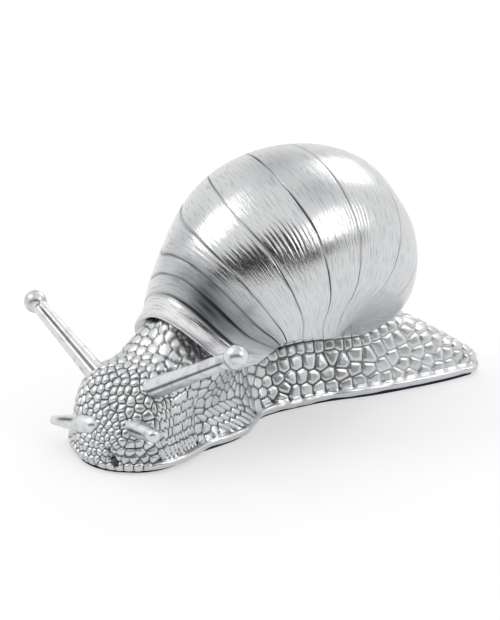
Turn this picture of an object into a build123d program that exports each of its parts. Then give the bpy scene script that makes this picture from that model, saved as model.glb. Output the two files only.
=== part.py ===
"""Cast snail ornament: a hollow body with a coiled shell screwed to its back."""

import math
import os

from build123d import *

os.makedirs("parts", exist_ok=True)

# Spine of the foot on the ground, from the tail tip to the muzzle
tail_tip_x = 16.48
tail_tip_y = 82.2
tail_heading = 23.0
tail_run = 60.0
bend_radius = 58.0
bend_angle = 34.0
head_run = 77.0

# Sole: a flat slab with a smooth rounded rim round the scaly back
sole_thickness = 4.0
rim_width = 2.2
rim_round = 1.4

# Felt and board that close the hollow casting underneath
felt_thickness = 1.5
felt_inset = 1.6
board_thickness = 2.0
board_inset = 4.0
board_gap = 0.4

# Walls of the two castings, and the stretch of the neck and head that is hollow
body_wall = 5.0
neck_hollow_start = 120.0
neck_hollow_end = 160.0
shell_wall = 3.6

# Shell: a round tube that coils and grows about a tilted axis, from the lip backwards
whorl_radius = 43.7
coil_radius = 22.3
descent = 50.5
growth_per_turn = 2.0
shell_turns = 3.0
umbilicus_radius = 2.4
mouth_angle = 9.9
mouth_shrink = 0.07
mouth_taper_turn = 0.19
axis_tilt = 27.5
axis_heading = 171.3
lip_thickness = 1.6
lip_width = 3.2
lip_overrun_turn = 0.06
lip_step_turn = 0.05
room_overrun_turn = 0.02
hollow_turns = 0.9
hollow_core_radius = 7.2
neck_reach_turn = 0.06
neck_gap = 0.6
seat_gap = 0.2
mantle_recess = 3.5
mantle_thickness = 5.0

# Middle of the last whorl on the shell's axis, measured from the saddle point on the spine
saddle_along = 80.0
whorl_left = 8.48
whorl_back = 4.72
whorl_rise = 39.48

# Mouth of the shell, cut square across near the neck, and the seat that its underside is cut to
mouth_left = 24.1
mouth_ahead = 48.2
mouth_rise = 43.9
mouth_tilt = 28.5
mouth_heading = 21.0
seat_height = 17.5
seat_tilt = 22.0
seat_heading = 55.0

# Screw, washer, spigot and dowel that hold the shell to the saddle
spigot_along = 72.0
spigot_left = -5.0
spigot_radius = 7.0
spigot_seat = 8.5
spigot_top = 24.0
screw_diameter = 5.0
screw_length = 15.0
screw_head_diameter = 9.0
screw_head_height = 2.2
screw_slot_width = 1.2
screw_slot_depth = 1.0
washer_diameter = 11.0
washer_thickness = 1.0
washer_recess = 1.6
thread_fit = 0.05
screw_clearance = 0.25
pin_along = 54.0
pin_left = 5.5
pin_seat = 11.0
pin_diameter = 3.0
pin_length = 11.0
slip_fit = 0.1

# Eye stalks: straight tapered rods with a ball tip
stalk_base_radius = 3.9
stalk_tip_radius = 2.7
stalk_bulb_radius = 4.3
stalk_spigot_radius = 2.6
stalk_spigot_length = 7.0
stalk_foot_sink = 1.5

# Feelers: short blunt cones
feeler_base_radius = 3.5
feeler_tip_radius = 2.1
feeler_spigot_radius = 1.9
feeler_spigot_length = 4.5
feeler_foot_sink = 1.2

# Stations of the body: distance from the tail tip, half width of the sole, height of the back, then the arch: the
# widths of crown and flank and the height of the waist, as shares, and how far the crest leans to the left
stations = (
    (3.0, 4.6, 9.5, 0.50, 0.80, 0.50, 0.0),
    (13.0, 8.6, 16.0, 0.40, 0.74, 0.46, 0.0),
    (29.0, 12.8, 26.0, 0.34, 0.72, 0.44, 0.0),
    (46.0, 16.2, 33.5, 0.36, 0.72, 0.46, 0.0),
    (62.0, 17.8, 33.0, 0.45, 0.78, 0.50, 0.0),
    (82.0, 18.4, 31.0, 0.55, 0.82, 0.50, 0.0),
    (103.0, 17.0, 36.0, 0.70, 0.72, 0.42, -2.0),
    (115.0, 22.2, 44.0, 0.80, 0.66, 0.36, -5.0),
    (127.0, 22.4, 46.0, 0.76, 0.64, 0.36, -3.0),
    (139.0, 21.2, 38.5, 0.82, 0.74, 0.45, -1.0),
    (150.0, 22.2, 32.0, 0.95, 0.90, 0.55, 0.0),
    (158.0, 20.2, 27.5, 0.95, 0.92, 0.58, 0.0),
    (164.5, 14.6, 20.5, 0.92, 0.94, 0.60, 0.0),
    (168.5, 8.6, 12.5, 0.90, 0.94, 0.60, 0.0),
)
end_clear = 1.0

# Places on the head: distance along the spine, distance to the side and height of each base and tip
left_stalk_base = (152.0, 9.5, 27.0)
left_stalk_tip = (149.5, 50.5, 49.9)
right_stalk_base = (153.5, -9.5, 25.0)
right_stalk_tip = (149.5, -50.5, 41.7)
left_feeler_base = (161.5, 7.0, 16.0)
left_feeler_tip = (164.5, 25.0, 15.6)
right_feeler_base = (161.5, -7.0, 12.0)
right_feeler_tip = (164.5, -25.0, 9.4)

# The spine runs straight, bends to the snail's left and runs straight again
tail_tip = Vector(tail_tip_x, tail_tip_y, 0)
tail_direction = Vector(0, -1, 0).rotate(Axis.Z, -tail_heading)
with BuildLine() as spine:
    tail_line = Line(tail_tip, tail_tip + tail_direction * tail_run)
    bend = JernArc(tail_line @ 1, tail_line % 1, bend_radius, bend_angle)
    head_line = Line(bend @ 1, bend @ 1 + (bend % 1) * head_run)
spine_wire = spine.wire()
spine_length = spine_wire.length


def across(along):
    """Upright plane square to the spine: x to the snail's left, y up."""
    share = along / spine_length
    forward = spine_wire % share
    return Plane(origin=spine_wire @ share, x_dir=Vector(0, 0, 1).cross(forward), z_dir=forward)


def at_body(along, left, up):
    """Point given by its distance along the spine, to the left and up."""
    return across(along).from_local_coords(Vector(left, up, 0))


def sole_face(height, inset):
    """Outline of the foot, drawn in by inset all round, on a level plane."""
    first = inset + end_clear
    last = spine_length - inset - 2 * end_clear
    rows = [row for row in stations if row[1] > inset + end_clear and first < row[0] < last]
    left = [at_body(along, half - inset, 0) for along, half, *_ in rows]
    right = [at_body(along, inset - half, 0) for along, half, *_ in rows]
    with BuildSketch(Plane.XY.offset(height)) as face:
        with BuildLine():
            Spline(*left)
            ThreePointArc(left[-1], at_body(spine_length - inset, 0, 0), right[-1])
            Spline(*reversed(right))
            ThreePointArc(right[0], at_body(inset, 0, 0), left[0])
        make_face()
    return face.sketch


sole_bottom = felt_thickness
board_top = sole_bottom + board_thickness
back_base = sole_bottom + sole_thickness / 2


def back_face(along, half, height, crown, flank, waist, lean, base, inset=0.0):
    """Arched section of the back on a plane square to the spine, thinned by inset."""
    wide = half - rim_width - inset
    top = height - inset
    middle = base + (top - base) * waist
    with BuildSketch(across(along)) as face:
        with BuildLine():
            Line((-wide, base), (wide, base))
            Bezier((wide, base), (flank * wide, middle), (lean + crown * wide, top), (lean, top))
            Bezier((lean, top), (lean - crown * wide, top), (-flank * wide, middle), (-wide, base))
        make_face()
    return face.sketch


# The shell's axis points to the snail's right and up, toward the apex
shell_axis = Vector(1, 0, 0).rotate(Axis.Y, -axis_tilt).rotate(Axis.Z, axis_heading)
ahead = Vector(0, -1, 0)
mouth_direction = (ahead - shell_axis * ahead.dot(shell_axis)).normalized()
side_direction = shell_axis.cross(mouth_direction)
saddle = at_body(saddle_along, 0, 0)
shell_origin = saddle + Vector(whorl_left, whorl_back, whorl_rise) + shell_axis * descent


def whorl_face(turn, thicken=0.0, core=umbilicus_radius):
    """Section of the tube in a plane through the axis, turn counted back from the lip as negative."""
    angle = math.radians(mouth_angle) - turn * 2 * math.pi
    outward = mouth_direction * math.cos(angle) + side_direction * math.sin(angle)
    scale = growth_per_turn ** turn
    pinch = 1 - mouth_shrink * max(1 + turn / mouth_taper_turn, 0) ** 2
    radius = whorl_radius * scale * pinch + thicken
    centre = (coil_radius * scale * pinch, -descent * scale)
    half_arc = math.degrees(math.acos((core * scale - centre[0]) / radius))
    third = 2 * half_arc / 3
    with BuildSketch(Plane(origin=shell_origin, x_dir=outward, z_dir=outward.cross(shell_axis))) as face:
        with BuildLine():
            arcs = [CenterArc(centre, radius, -half_arc + i * third, third) for i in range(3)]
            Line(arcs[-1] @ 1, arcs[0] @ 0)
        make_face()
    return face.sketch


mouth_normal = Vector(0, 0, -1).rotate(Axis.X, -mouth_tilt).rotate(Axis.Z, mouth_heading)
mouth_plane = Plane(saddle + Vector(mouth_left, -mouth_ahead, mouth_rise), z_dir=mouth_normal)
seat_normal = Vector(0, 0, 1).rotate(Axis.X, -seat_tilt).rotate(Axis.Z, seat_heading)
seat_plane = Plane(saddle + Vector(0, 0, seat_height), z_dir=seat_normal)


def coil(thicken):
    """Whole coil as one solid, lofted half a turn at a time, then cut at the mouth and along the seat."""
    steps = 6
    with BuildPart() as tube:
        for half_turn in range(int(2 * shell_turns)):
            turns = [lip_overrun_turn - (half_turn + i / steps) / 2 for i in range(steps + 1)]
            loft([whorl_face(turn, thicken) for turn in turns])
        split(bisect_by=mouth_plane.offset(thicken), keep=Keep.BOTTOM)
        split(bisect_by=seat_plane.offset(-thicken))
    return tube.part


def lip():
    """Rolled band round the mouth, proud of the coil."""
    turns = [lip_overrun_turn - lip_step_turn * i for i in range(6)]
    with BuildPart() as band:
        loft([whorl_face(turn, lip_thickness) for turn in turns])
        split(bisect_by=mouth_plane, keep=Keep.BOTTOM)
        split(bisect_by=mouth_plane.offset(-lip_width))
        split(bisect_by=seat_plane)
    return band.part


def hollow(first, last, wall, core):
    """Inside of the tube between two turns."""
    steps = 8
    turns = [first + (last - first) * i / steps for i in range(steps + 1)]
    with BuildPart() as room:
        loft([whorl_face(turn, -wall, core) for turn in turns])
    return room.part


spigot_plane = Plane(at_body(spigot_along, spigot_left, spigot_seat))
pin_plane = Plane(at_body(pin_along, pin_left, pin_seat))
washer_seat = board_top + washer_recess
washer_plane = Plane(at_body(spigot_along, spigot_left, washer_seat))
head_plane = washer_plane.offset(-washer_thickness)


def rod_plane(base, tip):
    """Plane at the foot of a stalk or feeler, with z along it, and its length to the tip."""
    start = at_body(*base)
    end = at_body(*tip)
    return Plane(start, z_dir=end - start), (end - start).length


def rod_profile_plane(rod):
    """Plane to draw a rod's half profile on: x outward, y along the rod."""
    return Plane(rod.origin, x_dir=rod.x_dir, z_dir=rod.y_dir * -1)


def socket(base, tip, spigot_radius, spigot_length, foot_radius, foot_sink):
    """Room in the head for a rod's spigot and foot."""
    rod, length = rod_plane(base, tip)
    with BuildPart() as room:
        with BuildSketch(rod.offset(-foot_sink - spigot_length - slip_fit)):
            Circle(spigot_radius + slip_fit)
        extrude(amount=spigot_length + 2 * slip_fit)
        with BuildSketch(rod.offset(-foot_sink)):
            Circle(foot_radius + slip_fit)
        extrude(amount=length)
    return room.part


def stalk(base, tip):
    """Eye stalk: spigot, flared foot, tapering rod and ball tip."""
    rod, length = rod_plane(base, tip)
    ball_start = length - math.sqrt(stalk_bulb_radius ** 2 - stalk_tip_radius ** 2)
    with BuildPart() as piece:
        with BuildSketch(rod_profile_plane(rod)):
            with BuildLine():
                outline = Polyline(
                    (0, length + stalk_bulb_radius),
                    (0, -stalk_foot_sink - stalk_spigot_length),
                    (stalk_spigot_radius, -stalk_foot_sink - stalk_spigot_length),
                    (stalk_spigot_radius, -stalk_foot_sink),
                    (stalk_base_radius, -stalk_foot_sink),
                    (stalk_tip_radius, ball_start),
                )
                ThreePointArc(outline @ 1, (stalk_bulb_radius, length), outline @ 0)
            make_face()
        revolve(axis=Axis(rod.origin, rod.z_dir))
    return piece.part


def feeler(base, tip):
    """Feeler: spigot and a blunt cone with a round end."""
    rod, length = rod_plane(base, tip)
    round_start = length - feeler_tip_radius
    round_middle = feeler_tip_radius * math.sqrt(0.5)
    with BuildPart() as piece:
        with BuildSketch(rod_profile_plane(rod)):
            with BuildLine():
                outline = Polyline(
                    (0, length),
                    (0, -feeler_foot_sink - feeler_spigot_length),
                    (feeler_spigot_radius, -feeler_foot_sink - feeler_spigot_length),
                    (feeler_spigot_radius, -feeler_foot_sink),
                    (feeler_base_radius, -feeler_foot_sink),
                    (feeler_tip_radius, round_start),
                )
                ThreePointArc(outline @ 1, (round_middle, round_start + round_middle), outline @ 0)
            make_face()
        revolve(axis=Axis(rod.origin, rod.z_dir))
    return piece.part


def save(part, name):
    """Label a finished piece and write its file."""
    part.label = name
    export_step(part, f"parts/{name}.step")


# Shell: hollow coil with a rolled lip and a spigot for the screw
room_end_turn = lip_overrun_turn + room_overrun_turn
with BuildPart() as shell:
    add(coil(0))
    add(lip())
    add(hollow(-hollow_turns, room_end_turn, shell_wall, hollow_core_radius), mode=Mode.SUBTRACT)
    with BuildSketch(spigot_plane):
        Circle(spigot_radius)
    extrude(amount=spigot_top - spigot_seat)
    with BuildSketch(spigot_plane):
        Circle(screw_diameter / 2 + thread_fit)
    extrude(amount=spigot_top - spigot_seat, mode=Mode.SUBTRACT)
    with BuildSketch(pin_plane):
        Circle(pin_diameter / 2 + slip_fit)
    extrude(amount=pin_length + slip_fit, mode=Mode.SUBTRACT)
save(shell.part, "shell")

# Space that the shell needs in the back of the body: the coil with its seat gap, less the mouth that the
# neck reaches into
neck_core_radius = hollow_core_radius + neck_gap
mouth_room = hollow(-neck_reach_turn, room_end_turn, shell_wall + neck_gap, neck_core_radius)
with BuildPart() as shell_room:
    add(coil(seat_gap))
    add(mouth_room, mode=Mode.SUBTRACT)

# Mantle: the fleshy collar round the neck that closes the shell's mouth, set back behind the lip
with BuildPart() as mantle:
    add(mouth_room)
    split(bisect_by=mouth_plane.offset(-mantle_recess), keep=Keep.BOTTOM)
    split(bisect_by=mouth_plane.offset(-mantle_recess - mantle_thickness))
    split(bisect_by=seat_plane)

# Body: sole, arched back with neck and head, hollow from below, saddle and sockets cut in
with BuildPart() as body:
    rim_profile = ((0, rim_round / 2), (0.4, 0), (1, rim_round))
    loft([sole_face(sole_bottom + sole_thickness * up, inset) for up, inset in rim_profile])
    loft([back_face(*row, back_base) for row in stations])
    add(shell_room.part, mode=Mode.SUBTRACT)
    add(mantle.part)
    add(sole_face(sole_bottom, board_inset))
    extrude(amount=board_thickness, mode=Mode.SUBTRACT)
    hollow_rows = [row for row in stations if neck_hollow_start < row[0] < neck_hollow_end]
    loft([back_face(*row, board_top, body_wall) for row in hollow_rows], mode=Mode.SUBTRACT)
    with BuildSketch(spigot_plane):
        Circle(spigot_radius + slip_fit)
    extrude(amount=spigot_top, mode=Mode.SUBTRACT)
    with BuildSketch(spigot_plane):
        Circle(screw_diameter / 2 + screw_clearance)
    extrude(amount=-spigot_seat, mode=Mode.SUBTRACT)
    with BuildSketch(washer_plane):
        Circle(washer_diameter / 2 + screw_clearance)
    extrude(amount=-washer_seat, mode=Mode.SUBTRACT)
    with BuildSketch(pin_plane):
        Circle(pin_diameter / 2 + slip_fit)
    extrude(amount=pin_length + slip_fit, mode=Mode.SUBTRACT)
    stalk_sizes = (stalk_spigot_radius, stalk_spigot_length, stalk_base_radius, stalk_foot_sink)
    feeler_sizes = (feeler_spigot_radius, feeler_spigot_length, feeler_base_radius, feeler_foot_sink)
    add(socket(left_stalk_base, left_stalk_tip, *stalk_sizes), mode=Mode.SUBTRACT)
    add(socket(right_stalk_base, right_stalk_tip, *stalk_sizes), mode=Mode.SUBTRACT)
    add(socket(left_feeler_base, left_feeler_tip, *feeler_sizes), mode=Mode.SUBTRACT)
    add(socket(right_feeler_base, right_feeler_tip, *feeler_sizes), mode=Mode.SUBTRACT)
save(body.part, "body")

# Eye stalks and feelers
save(stalk(left_stalk_base, left_stalk_tip), "left_eye_stalk")
save(stalk(right_stalk_base, right_stalk_tip), "right_eye_stalk")
save(feeler(left_feeler_base, left_feeler_tip), "left_feeler")
save(feeler(right_feeler_base, right_feeler_tip), "right_feeler")

# Slotted screw, driven from below into the shell's spigot
with BuildPart() as shell_screw:
    with BuildSketch(head_plane):
        Circle(screw_head_diameter / 2)
    extrude(amount=-screw_head_height)
    with BuildSketch(head_plane):
        Circle(screw_diameter / 2)
    extrude(amount=screw_length)
    with BuildSketch(head_plane.offset(-screw_head_height)):
        Rectangle(screw_head_diameter, screw_slot_width)
    extrude(amount=screw_slot_depth, mode=Mode.SUBTRACT)
save(shell_screw.part, "shell_screw")

# Flat washer between the screw's head and the floor of the saddle
with BuildPart() as screw_washer:
    with BuildSketch(washer_plane):
        Circle(washer_diameter / 2)
        Circle(screw_diameter / 2 + slip_fit, mode=Mode.SUBTRACT)
    extrude(amount=-washer_thickness)
save(screw_washer.part, "screw_washer")

# Dowel that keeps the shell from turning on its screw
with BuildPart() as locating_pin:
    with BuildSketch(pin_plane):
        Circle(pin_diameter / 2)
    extrude(amount=pin_length)
save(locating_pin.part, "locating_pin")

# Board let into the underside, with a hole that clears the screw's head
with BuildPart() as base_board:
    add(sole_face(sole_bottom, board_inset + board_gap))
    extrude(amount=board_thickness)
    with BuildSketch(washer_plane):
        Circle(washer_diameter / 2 + screw_clearance)
    extrude(amount=-washer_seat, mode=Mode.SUBTRACT)
save(base_board.part, "base_board")

# Felt glued under the foot, set back from its edge
with BuildPart() as felt_pad:
    add(sole_face(0, felt_inset))
    extrude(amount=felt_thickness)
save(felt_pad.part, "felt_pad")
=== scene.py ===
import math

import bpy
import numpy as np
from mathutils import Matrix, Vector, kdtree


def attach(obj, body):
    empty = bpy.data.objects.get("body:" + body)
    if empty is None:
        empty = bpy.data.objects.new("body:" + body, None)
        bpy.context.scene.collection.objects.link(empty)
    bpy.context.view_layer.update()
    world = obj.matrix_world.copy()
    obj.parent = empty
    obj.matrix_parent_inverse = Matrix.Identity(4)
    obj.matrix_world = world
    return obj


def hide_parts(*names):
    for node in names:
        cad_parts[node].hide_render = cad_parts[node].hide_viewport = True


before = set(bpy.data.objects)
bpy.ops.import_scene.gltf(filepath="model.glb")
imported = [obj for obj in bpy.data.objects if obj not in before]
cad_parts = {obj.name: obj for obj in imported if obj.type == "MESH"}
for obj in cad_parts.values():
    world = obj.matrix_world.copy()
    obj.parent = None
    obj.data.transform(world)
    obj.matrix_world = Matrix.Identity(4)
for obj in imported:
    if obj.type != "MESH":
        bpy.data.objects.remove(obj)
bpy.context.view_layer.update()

# Viewpoint: a long lens a little above the snail's left front, as in a catalogue picture.
# The target is the middle of the figurine, and the scale is the photograph's pixels per metre there.
view_azimuth = math.radians(55.0)
view_elevation = math.radians(22.0)
view_distance = 0.85
view_target = Vector((-0.01002, -0.0038, 0.036))
pixels_per_metre = 2750.0
image_height = 620
toward_camera = Vector((
    math.sin(view_azimuth) * math.cos(view_elevation),
    -math.cos(view_azimuth) * math.cos(view_elevation),
    math.sin(view_elevation),
))
camera_data = bpy.data.cameras.new("camera")
camera_data.sensor_fit = "VERTICAL"
camera_data.sensor_height = 24.0
camera_data.lens = camera_data.sensor_height * pixels_per_metre * view_distance / image_height
camera = bpy.data.objects.new("camera", camera_data)
camera.location = view_target + toward_camera * view_distance
camera.rotation_euler = toward_camera.to_track_quat("Z", "Y").to_euler()
bpy.context.scene.collection.objects.link(camera)
bpy.context.scene.camera = camera


# Body: one hollow casting of foot, tail, neck and head, which carries everything else. The wax was
# modelled with pebbly scales over the back and a smooth rim round the foot, then the casting was darkened
# and rubbed back so that the scale tops shine.
MM = 0.001
tail_tip = np.array((16.48, 82.2))
tail_heading = math.radians(23.0)
tail_run = 60.0
bend_radius = 58.0
bend_angle = math.radians(34.0)
head_run = 77.0
spine_length = tail_run + bend_radius * bend_angle + head_run
sole_bottom = 1.5
rim_width = 2.2
rim_height = 5.0
station_along = np.array((0.0, 3, 13, 29, 46, 62, 82, 103, 115, 127, 139, 150, 158, 163, 167, 169.5, 170.6))
station_height = np.array((
    7.6, 10.2, 17, 26.6, 33.5, 33, 31, 36, 44, 46, 38.5, 32, 27.5, 21.5, 14.5, 8.5, 5.2,
))
station_crown = np.array((
    0.5, 0.5, 0.4, 0.34, 0.36, 0.45, 0.55, 0.7, 0.8, 0.76, 0.82, 0.95, 0.95, 0.92, 0.9, 0.9, 0.9
))
station_flank = np.array((
    0.8, 0.8, 0.74, 0.72, 0.72, 0.78, 0.82, 0.72, 0.66, 0.64, 0.74, 0.9, 0.92, 0.94, 0.94, 0.94, 0.94
))
station_waist = np.array((
    0.5, 0.5, 0.46, 0.44, 0.46, 0.5, 0.5, 0.42, 0.36, 0.36, 0.45, 0.55, 0.58, 0.6, 0.6, 0.6, 0.6
))
station_lean = np.array((0.0, 0, 0, 0, 0, 0, 0, -2, -5, -3, -1, 0, 0, 0, 0, 0, 0))
edge_along = np.array((0.0, 3, 13, 29, 46, 62, 82, 103, 110, 115, 121, 127, 134, 140, 147, 153))
edge_half = np.array((
    3.4, 4.6, 8.6, 12.8, 16.2, 17.8, 18.4, 17.0, 19.6, 22.2, 23.2, 22.6, 20.5, 21.2, 22.1, 22.0,
))
left_fuller = np.array((
    0.0, 0.0, -0.2, -0.2, 0.0, 0.4, 1.2, 0.8, 1.8, 1.0, 0.2, 0.2, 1.4, 1.8, 1.6, 1.4
))


def through(known, values, at):
    """Smooth curve through a few values, with slopes taken from the neighbours."""
    slopes = np.gradient(values, known)
    cell = np.clip(np.searchsorted(known, at) - 1, 0, len(known) - 2)
    span = known[cell + 1] - known[cell]
    t = np.clip((at - known[cell]) / span, 0, 1)
    rise = t * t * (3 - 2 * t)
    start = slopes[cell] * span * t * (1 - t) ** 2
    end = slopes[cell + 1] * span * t * t * (1 - t)
    return values[cell] * (1 - rise) + values[cell + 1] * rise + start - end


def spine(along):
    """Point, forward and left direction on the ground at a distance from the tail tip."""
    along = np.asarray(along, float)
    turned = np.clip(along - tail_run, 0, bend_radius * bend_angle) / bend_radius
    heading = turned - tail_heading
    forward = np.stack((np.sin(heading), -np.cos(heading)), -1)
    left = np.stack((np.cos(heading), np.sin(heading)), -1)
    tail_forward = np.array((-math.sin(tail_heading), -math.cos(tail_heading)))
    tail_left = np.array((math.cos(tail_heading), -math.sin(tail_heading)))
    bend_centre = tail_tip + tail_forward * tail_run + tail_left * bend_radius
    run = along - tail_run - turned * bend_radius
    return bend_centre - left * bend_radius + forward * run[..., None], forward, left


def at_body(along, left_by, up):
    """Point given by its distance along the spine, to the left and up, in millimetres."""
    point, _, left = spine(along)
    return np.array((*(point + left * left_by), up))


def smoothstep(low, high, value):
    """Ease from 0 at the low value to 1 at the high one."""
    t = np.clip((value - low) / (high - low), 0, 1)
    return t * t * (3 - 2 * t)


def bezier(points, t):
    """Cubic Bezier curve with four control values, arrays allowed."""
    a, b, c, d = points
    return a * (1 - t) ** 3 + 3 * b * t * (1 - t) ** 2 + 3 * c * t * t * (1 - t) + d * t ** 3


# Rays run from the spine's crest down to the foot's edge: along the left side, round the head, back along
# the right side and round the tail
skin_step = 0.55
tail_centre = 6.0
head_centre = 150.0
bluntness = 1.9
side = np.arange(tail_centre, head_centre, skin_step)
front_turn = np.linspace(math.pi / 2, -math.pi / 2, 140)
back_turn = np.linspace(-math.pi / 2, -1.5 * math.pi, 40)[1:-1]
ray_along = np.concatenate((
    side, np.full(len(front_turn), head_centre), side[::-1], np.full(len(back_turn), tail_centre)
))
ray_turn = np.concatenate((
    np.full(len(side), math.pi / 2), front_turn, np.full(len(side), -math.pi / 2), back_turn
))
ray_start, ray_forward, ray_left = spine(ray_along)
ray_direction = ray_forward * np.cos(ray_turn)[:, None] + ray_left * np.sin(ray_turn)[:, None]
half_width = through(edge_along, edge_half, ray_along)
cheek_bulge = 4.4
cheek_along = 152
cheek_spread = 14
far_cheek = np.where(ray_turn < 0, cheek_bulge, 0.0) * np.abs(np.sin(ray_turn))
far_cheek = far_cheek * np.exp(-((ray_along - cheek_along) / cheek_spread) ** 2)
near_side = np.maximum(np.sin(ray_turn), 0)
half_width = half_width + far_cheek + through(edge_along, left_fuller, ray_along) * near_side
tail_overhang = 1.2
end_reach = np.where(ray_along > 100, spine_length - head_centre, tail_centre + tail_overhang)
end_narrowing = 1.4
rim_band = rim_width - end_narrowing * smoothstep(0.2, 0.75, np.abs(np.cos(ray_turn)))


def outline_reach(half, end):
    """Distance from a ray's start to a blunt oval of the given half width and end length."""
    aside = (np.abs(np.sin(ray_turn)) / half) ** bluntness
    onward = (np.abs(np.cos(ray_turn)) / end) ** bluntness
    return (aside + onward) ** (-1 / bluntness)


ray_reach = outline_reach(half_width, end_reach)
end_inset = 0.8
inner_end = end_reach - end_inset
flank = np.minimum(outline_reach(half_width - rim_width, inner_end), ray_reach - rim_band)

# Back: rows lie closer together toward the steep flank; each point takes its height from the arch of its
# station
dome_rows = 112
share = 1 - (1 - np.linspace(0, 1, dome_rows)) ** 1.6
dome_out = flank[:, None] * share[None, :]
dome_along = ray_along[:, None] + dome_out * np.cos(ray_turn)[:, None]
flank_onward = np.abs(dome_out * np.cos(ray_turn)[:, None]) / inner_end[:, None]
narrowing = (1 - np.clip(flank_onward, 0, 0.9999) ** bluntness) ** (1 / bluntness)
local_half = (half_width - rim_width)[:, None] * narrowing
aside = np.abs(dome_out * np.sin(ray_turn)[:, None]) / local_half
aside = np.clip(np.maximum(aside, share[None, :] ** 8), 0, 1)
crest = through(station_along, station_height, dome_along)
crown = through(station_along, station_crown, dome_along)
side_flank = through(station_along, station_flank, dome_along)
waist = through(station_along, station_waist, dome_along)
low = np.zeros_like(aside)
high = np.ones_like(aside)
for _ in range(24):
    middle = (low + high) / 2
    beyond = bezier((0, crown, side_flank, 1), middle) > aside
    high = np.where(beyond, middle, high)
    low = np.where(beyond, low, middle)
arch = bezier((1, 1, waist, 0), low)
arch[:, -1] = 0
dome_up = rim_height + np.maximum(crest - rim_height, 0) * arch

# The rows are then spaced evenly down each ray, closer over the lower flank where the finest scales are
run = np.cumsum(np.hypot(np.diff(dome_out, axis=1), np.diff(dome_up, axis=1)), axis=1)
run = np.concatenate((np.zeros((len(run), 1)), run), 1)
fine_flank = 22.0
fine_rows = 74
for ray, reached in enumerate(run):
    whole = reached[-1]
    fine = min(fine_flank, 0.72 * whole)
    above = np.linspace(0, whole - fine, dome_rows - fine_rows, endpoint=False)
    wanted = np.concatenate((above, np.linspace(whole - fine, whole, fine_rows)))
    dome_out[ray] = np.interp(wanted, reached, dome_out[ray])
    dome_up[ray] = np.interp(wanted, reached, dome_up[ray])

# Rim: the skin flares out into a thin smooth edge that ripples a little, as a creeping foot does
ripple = np.sin(ray_along * 0.27 + 0.8) * 0.45 + np.sin(ray_along * 0.61) * 0.3
ripple = ripple * smoothstep(10, 40, ray_along) * np.abs(np.sin(ray_turn))
rim_rows = 16
rim_t = np.linspace(0, 1, rim_rows)[None, 1:]
edge = ray_reach[:, None] + 0.5 * ripple[:, None]
lift = 0.6 * ripple[:, None]
inner = flank[:, None]
rim_out = bezier((inner, inner + 0.3 * (edge - inner), edge + 0.4, edge - 0.6), rim_t)
rim_up = bezier((rim_height + 0 * edge, rim_height - 1.2 + lift, 3.9 + lift, sole_bottom + 0 * edge), rim_t)
profile_out = np.concatenate((dome_out, rim_out), 1)
profile_up = np.concatenate((dome_up, rim_up), 1)
skin = np.empty(profile_out.shape + (3,))
skin[..., :2] = ray_start[:, None, :] + ray_direction[:, None, :] * profile_out[..., None]
skin[..., 2] = profile_up
lean_over = 25.0
lean = np.clip((profile_up - rim_height) / lean_over, 0, 1)
lean = through(station_along, station_lean, ray_along)[:, None] * lean
skin[..., :2] += ray_left[:, None, :] * lean[..., None]


def grid_normals(points):
    """Outward normals of the skin's grid, the same on both sides of the crest."""
    around = np.roll(points, -1, 0) - np.roll(points, 1, 0)
    down = np.gradient(points, axis=1)
    normal = np.cross(around, down)
    normal /= np.linalg.norm(normal, axis=2, keepdims=True) + 1e-9
    count = len(side)
    first_front = count
    first_right = count + len(front_turn)
    crest_normal = normal[:, 1].copy()
    left_side = crest_normal[:count] + crest_normal[first_right:first_right + count][::-1]
    crest_normal[:count] = left_side
    crest_normal[first_right:first_right + count] = left_side[::-1]
    crest_normal[first_front:first_right] = crest_normal[first_front:first_right].mean(0)
    crest_normal[first_right + count:] = left_side[0]
    normal[:, 0] = crest_normal / np.linalg.norm(crest_normal, axis=1, keepdims=True)
    return normal


normal = grid_normals(skin)

# Broad forms: the neck swells to fill the shell's mouth, the head narrows behind the far stalk, and the
# far feeler sits in a shallow pit. Each swelling has its place (along, left, up), its spread and its
# height.
swellings = (
    ((136.0, -9.0, 36.5), 8.0, 0.9), ((147.0, -12.5, 31.0), 6.0, -1.6), ((167.0, -5.5, 12.5), 4.0, -1.2),
    ((121.0, 15.0, 32.0), 12.0, 9.0), ((154.0, 8.0, 30.0), 7.0, 1.6), ((154.0, -8.0, 28.0), 7.0, 1.2),
    ((164.0, 9.0, 8.0), 7.0, 1.2), ((131.5, -4.0, 43.5), 6.0, -0.9), ((133.2, 17.7, 27.2), 9.5, 6.8),
    ((128.0, 11.9, 36.9), 12.0, 1.1), ((132.9, 3.2, 43.9), 7.0, 3.1),
)
for base, spread, height in swellings:
    away = np.linalg.norm(skin - at_body(*base), axis=2)
    skin += normal * (height * np.exp(-(away / spread) ** 2))[..., None]

# Mouth: a short slanting cleft low on the muzzle
cleft_width = 0.9
cleft_depth = 2.2
mouth_low = at_body(168.3, 10.2, 4.6)
mouth_high = at_body(168.4, 7.7, 8.4)
mouth_line = mouth_high - mouth_low
mouth_t = np.clip((skin - mouth_low) @ mouth_line / (mouth_line @ mouth_line), -0.3, 1.15)
to_mouth = np.linalg.norm(skin - mouth_low - mouth_t[..., None] * mouth_line, axis=2)
cleft = np.exp(-(to_mouth / cleft_width) ** 2)
skin -= normal * (cleft_depth * cleft)[..., None]
normal = grid_normals(skin)

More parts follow.
